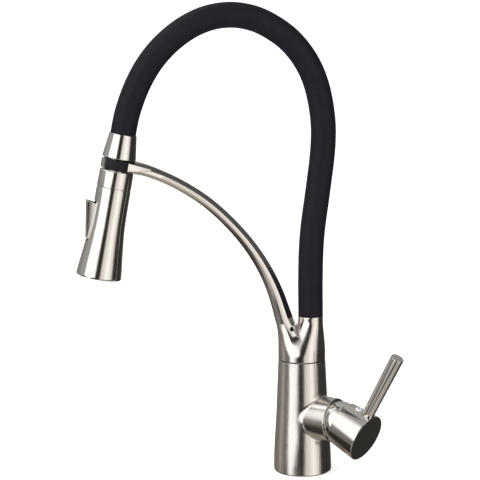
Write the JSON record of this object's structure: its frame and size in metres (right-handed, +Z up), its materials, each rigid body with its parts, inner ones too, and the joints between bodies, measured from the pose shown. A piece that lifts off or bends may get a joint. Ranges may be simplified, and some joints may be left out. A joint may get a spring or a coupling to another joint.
{
  "type": "pull down kitchen faucet",
  "caption": "Deck-mounted kitchen mixer with side lever, swivelling body, curved arm and clip, and a pull-down spray head on a flexible black hose.",
  "frame": {"origin": "centre of the body's underside, on the worktop, over the tap hole", "axes": "+Z up along the body; -Y towards the spray head at rest; the arm, hose and head lie in the plane X = 0"},
  "size_m": [0.1169, 0.2987, 0.5195],
  "materials": {
    "brushed_nickel": "brushed, satin",
    "polished_nickel": "polished",
    "brass": "machined",
    "steel": "machined",
    "silicone_black": "satin smooth",
    "nylon_black": "fine moulded texture",
    "rubber_black": "matt",
    "acetal_white": "smooth",
    "index_white": "glossy, with a blue dot",
    "grey_plastic": "moulded"
  },
  "bodies": {
    "faucet_base": {"main_body": "brushed_nickel", "base_gasket": "rubber_black", "mounting_shank": "brass", "deck_seal_washer": "rubber_black", "deck_backing_washer": "steel", "mounting_nut": "brass", "hot_inlet": "brass", "cold_inlet": "brass", "swivel_spigot": "brass", "swivel_seal_lower": "rubber_black", "swivel_seal_upper": "rubber_black", "swivel_glide_ring": "grey_plastic", "spout_retaining_ring": "steel", "valve_cartridge": "grey_plastic", "cartridge_nut": "brass", "bonnet_dome": "polished_nickel"},
    "spout": {"spout_body": "brushed_nickel", "support_arm": "brushed_nickel", "arm_set_screw": "steel", "holder_clip": "nylon_black", "clip_screw": "steel", "hose_nipple": "brass", "hose_sleeve": "silicone_black", "inner_hose": "rubber_black"},
    "hose_end": {"docking_neck": "polished_nickel", "hose_cone": "polished_nickel", "neck_circlip": "steel"},
    "spray_head": {"head_shell": "brushed_nickel", "head_collar": "brushed_nickel", "swivel_washer": "acetal_white", "inlet_filter": "steel", "diverter_body": "grey_plastic", "aerator_housing": "grey_plastic", "aerator_screen": "steel", "rocker_pin": "steel", "nozzle_mat": "rubber_black", "spray_plate": "grey_plastic"},
    "rocker": {"rocker_switch": "brushed_nickel"},
    "plunger": {"diverter_plunger": "acetal_white"},
    "temperature_control": {"cartridge_spindle": "steel", "lever_pin": "steel"},
    "handle": {"handle_cap": "brushed_nickel", "lever_rod": "polished_nickel", "lever_stem": "steel", "index_plug": "index_white"}
  },
  "joints": [
    {"name": "spout_swivel", "type": "hinge", "parent": "faucet_base", "child": "spout", "pos_m": [0, 0, 0.1125], "axis": [0, 0, 1], "continuous": true},
    {"name": "hose_flex", "type": "hinge", "parent": "spout", "child": "hose_end", "pos_m": [0, -0.14219, 0.48209], "axis": [-1, 0, 0], "range_deg": [0, 25], "deforming": ["hose_sleeve", "inner_hose"]},
    {"name": "head_swivel", "type": "hinge", "parent": "hose_end", "child": "spray_head", "pos_m": [0, -0.17903, 0.29773], "axis": [0, -0.1959, -0.9806], "continuous": true},
    {"name": "rocker_tilt", "type": "hinge", "parent": "spray_head", "child": "rocker", "pos_m": [0, -0.20334, 0.24854], "axis": [-1, 0, 0], "range_deg": [0, 7]},
    {"name": "plunger_slide", "type": "slide", "parent": "spray_head", "child": "plunger", "axis": [0, 0.9806, -0.1959], "range_m": [0, 0.002]},
    {"name": "temperature_turn", "type": "hinge", "parent": "faucet_base", "child": "temperature_control", "pos_m": [0, 0, 0.0562], "axis": [0.7431, 0.6691, 0], "range_deg": [-45, 45]},
    {"name": "flow_tilt", "type": "hinge", "parent": "temperature_control", "child": "handle", "pos_m": [0.03359, 0.03025, 0.0562], "axis": [-0.6691, 0.7431, 0], "range_deg": [-23, 0]}
  ],
  "couplings": [
    {"joint": "plunger_slide", "follows": "rocker_tilt", "m_per_rad": 0.016}
  ]
}
